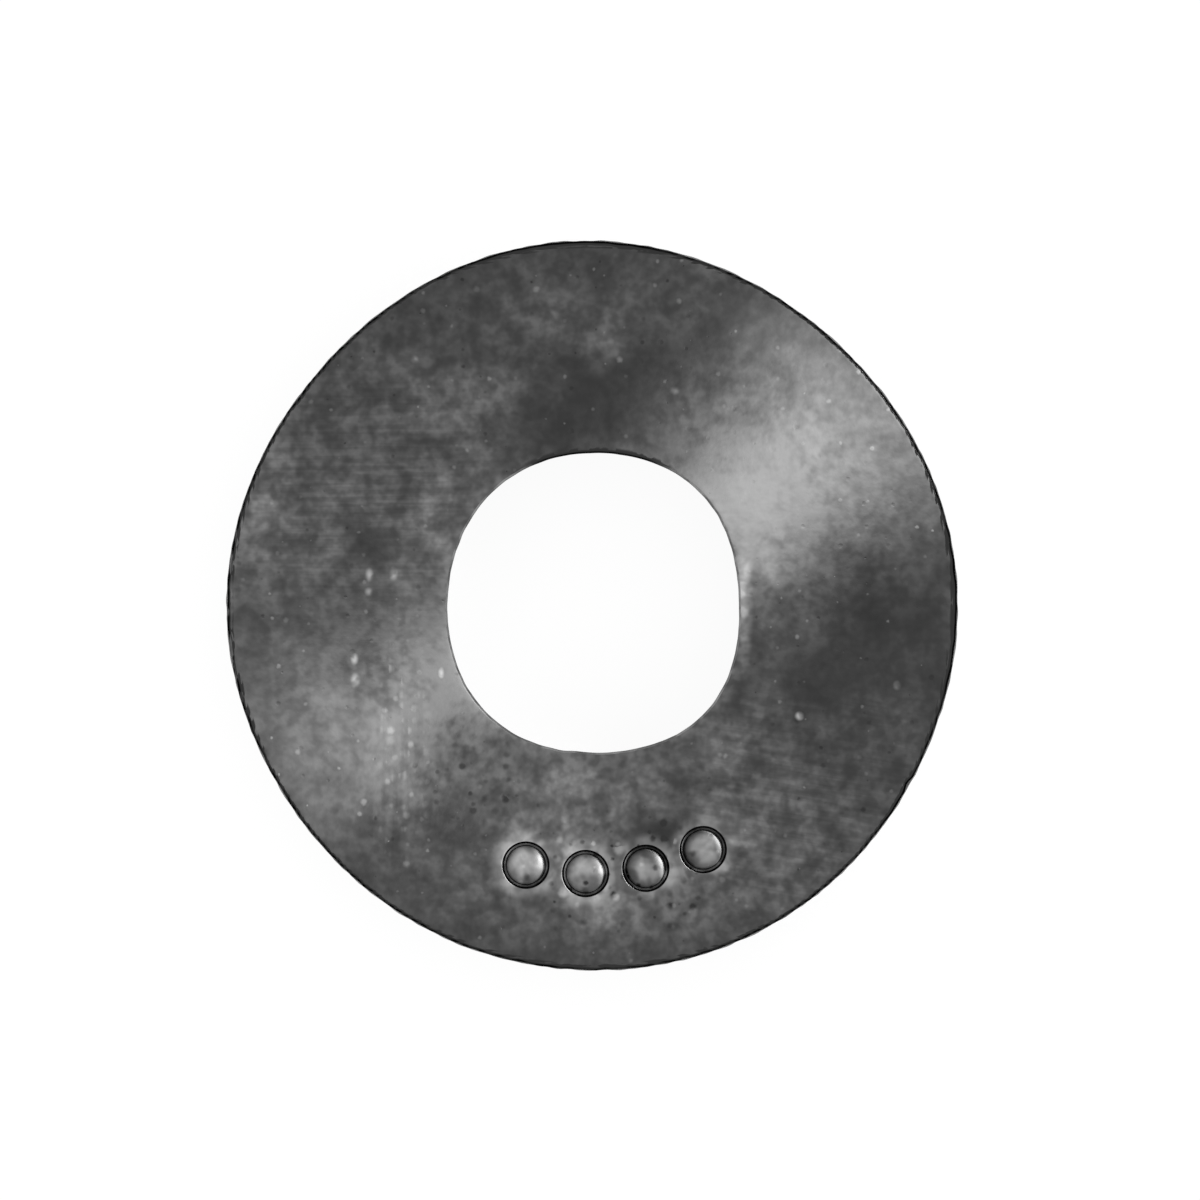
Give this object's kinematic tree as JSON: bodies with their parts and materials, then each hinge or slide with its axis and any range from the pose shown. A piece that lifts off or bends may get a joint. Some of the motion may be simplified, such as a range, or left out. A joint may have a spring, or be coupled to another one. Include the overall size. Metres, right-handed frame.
{
  "type": "rubber washer",
  "caption": "Flat grey-black rubber washer: a moulded ring with a round bore, softly rounded edges, a fine parting ridge on its rim and small sunk pips on its upper face.",
  "frame": {"origin": "middle of the flat underside, on the rim's axis", "axes": "+Z along the bore, from the plain underside to the face with the sunk pips; the pips lie towards -Y"},
  "size_m": [0.019, 0.019, 0.0032],
  "materials": {
    "rubber": "dull, mottled and lightly scuffed"
  },
  "bodies": {
    "root": {"washer": "rubber"}
  },
  "joints": []
}
